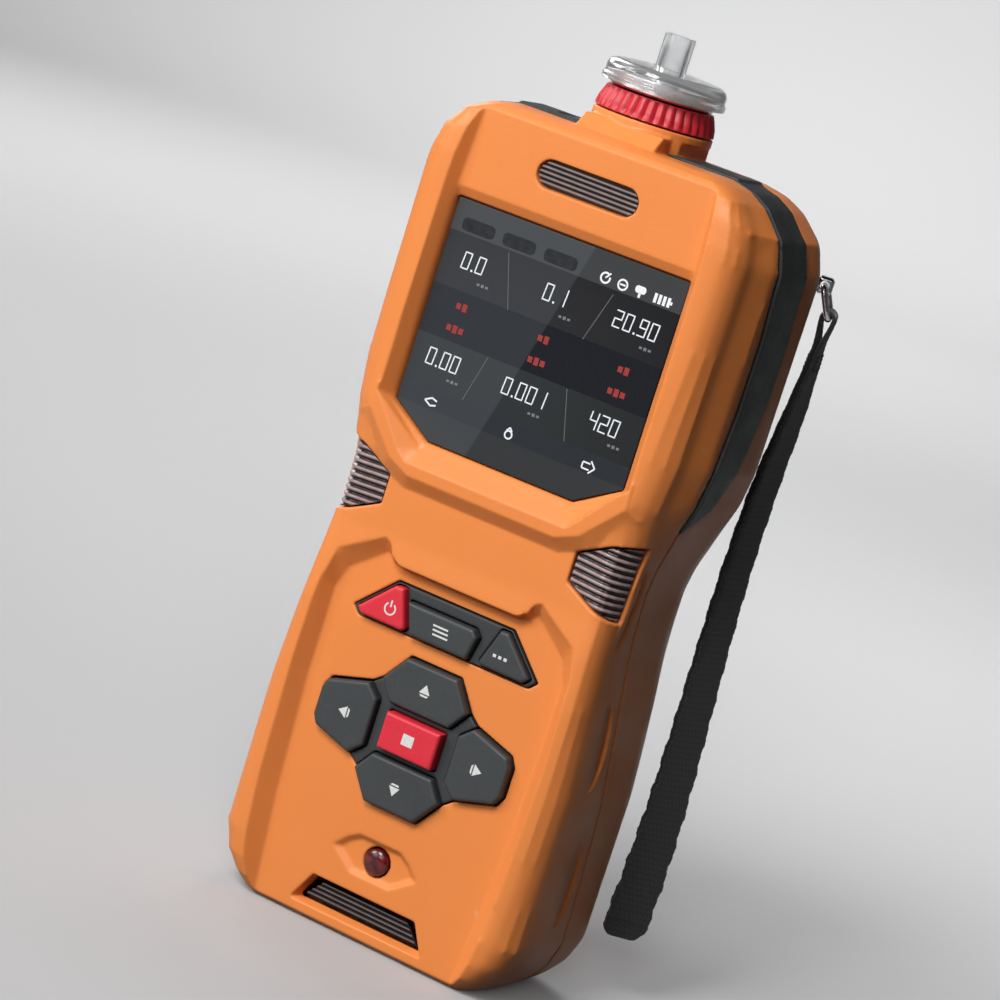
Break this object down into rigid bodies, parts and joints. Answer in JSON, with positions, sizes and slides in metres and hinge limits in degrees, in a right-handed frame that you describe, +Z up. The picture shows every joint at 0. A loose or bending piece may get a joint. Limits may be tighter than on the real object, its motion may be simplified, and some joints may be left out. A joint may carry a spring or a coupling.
{
  "type": "portable gas detector",
  "caption": "Hand-held pumped gas detector with a moulded case, display, rubber keys, side alarm lenses, a screw-on filter inlet on top and a wrist strap.",
  "frame": {"origin": "centre of the flat bottom that the detector stands on", "axes": "+Z up the long axis to the gas inlet, -Y the front with the display and keys, +X to the right seen from the front"},
  "size_m": [0.081, 0.0457, 0.1828],
  "materials": {
    "orange_shell": "satin moulding",
    "black_bumper": "matt overmould",
    "display_glass": "polished",
    "display_panel": "smooth",
    "grey_foam": "matt foam",
    "black_key": "satin",
    "red_key": "satin",
    "keypad_rubber": "matt",
    "alarm_lens": "smoked and ribbed",
    "grille_plastic": "satin",
    "red_lens": "polished",
    "red_ring": "satin",
    "bright_metal": "polished",
    "clear_plastic": "polished",
    "white_membrane": "matt",
    "seal_rubber": "matt",
    "circuit_board": "solder mask",
    "sensor_can": "satin",
    "pump_plastic": "satin",
    "motor_steel": "satin",
    "silicone_tube": "satin",
    "battery_wrap": "film wrap",
    "screw_steel": "satin",
    "strap_fabric": "woven webbing",
    "ring_wire": "polished"
  },
  "bodies": {
    "case": {"front_shell": "orange_shell", "rear_shell": "orange_shell", "bumper_left": "black_bumper", "bumper_right": "black_bumper", "display_window": "display_glass", "display_gasket": "grey_foam", "display_module": "display_panel", "keypad_mat": "keypad_rubber", "alarm_lens_left": "alarm_lens", "alarm_lens_right": "alarm_lens", "sounder_grille": "grille_plastic", "lower_grille": "grille_plastic", "indicator_lens": "red_lens", "inlet_seal": "seal_rubber", "exhaust_port": "seal_rubber", "main_board": "circuit_board", "sensor_board": "circuit_board", "battery_pack": "battery_wrap", "gas_manifold": "pump_plastic", "gas_sensor_1": "sensor_can", "gas_sensor_2": "sensor_can", "gas_sensor_3": "sensor_can", "gas_sensor_4": "sensor_can", "gas_sensor_5": "sensor_can", "gas_sensor_6": "sensor_can", "pump_body": "pump_plastic", "pump_motor": "motor_steel", "intake_tube": "silicone_tube", "sounder": "pump_plastic", "sounder_mount": "grey_foam", "vibration_motor": "motor_steel", "charge_socket": "motor_steel", "strap_eye": "ring_wire", "case_screw_1": "screw_steel", "case_screw_2": "screw_steel", "case_screw_3": "screw_steel", "case_screw_4": "screw_steel", "case_screw_5": "screw_steel", "case_screw_6": "screw_steel"},
    "power_button": {"power_key": "red_key"},
    "menu_button": {"menu_key": "black_key"},
    "function_button": {"function_key": "black_key"},
    "up_button": {"up_key": "black_key"},
    "down_button": {"down_key": "black_key"},
    "left_button": {"left_key": "black_key"},
    "right_button": {"right_key": "black_key"},
    "ok_button": {"ok_key": "red_key"},
    "filter_head": {"filter_base": "bright_metal", "filter_membrane": "white_membrane", "filter_cover": "clear_plastic", "hose_stub": "clear_plastic"},
    "ring": {"knurled_ring": "red_ring"},
    "port_cover": {"charge_port_cover": "seal_rubber"},
    "strap": {"strap_ring": "ring_wire", "wrist_strap": "strap_fabric"}
  },
  "joints": [
    {"name": "power_press", "type": "slide", "parent": "case", "child": "power_button", "axis": [0, 1, 0], "range_m": [0, 0.0008], "stiffness_N_per_m": 1500},
    {"name": "menu_press", "type": "slide", "parent": "case", "child": "menu_button", "axis": [0, 1, 0], "range_m": [0, 0.0008], "stiffness_N_per_m": 1500},
    {"name": "function_press", "type": "slide", "parent": "case", "child": "function_button", "axis": [0, 1, 0], "range_m": [0, 0.0008], "stiffness_N_per_m": 1500},
    {"name": "up_press", "type": "slide", "parent": "case", "child": "up_button", "axis": [0, 1, 0], "range_m": [0, 0.0008], "stiffness_N_per_m": 1500},
    {"name": "down_press", "type": "slide", "parent": "case", "child": "down_button", "axis": [0, 1, 0], "range_m": [0, 0.0008], "stiffness_N_per_m": 1500},
    {"name": "left_press", "type": "slide", "parent": "case", "child": "left_button", "axis": [0, 1, 0], "range_m": [0, 0.0008], "stiffness_N_per_m": 1500},
    {"name": "right_press", "type": "slide", "parent": "case", "child": "right_button", "axis": [0, 1, 0], "range_m": [0, 0.0008], "stiffness_N_per_m": 1500},
    {"name": "ok_press", "type": "slide", "parent": "case", "child": "ok_button", "axis": [0, 1, 0], "range_m": [0, 0.0008], "stiffness_N_per_m": 1500},
    {"name": "filter_lift", "type": "slide", "parent": "case", "child": "filter_head", "axis": [0, 0, 1], "range_m": [0, 0.00299]},
    {"name": "ring_turn", "type": "hinge", "parent": "filter_head", "child": "ring", "pos_m": [0, 0.0025, 0.1663], "axis": [0, 0, 1], "range_deg": [0, 719]},
    {"name": "port_cover_hinge", "type": "hinge", "parent": "case", "child": "port_cover", "pos_m": [0, 0.0187, 0.0132], "axis": [-1, 0, 0], "range_deg": [0, 100]},
    {"name": "strap_swing", "type": "hinge", "parent": "case", "child": "strap", "pos_m": [0.036, 0.021, 0.1465], "axis": [0.342, -0.9397, 0], "range_deg": [0, 60]}
  ],
  "couplings": [
    {"joint": "ring_turn", "follows": "filter_lift", "rad_per_m": 4188.8}
  ]
}
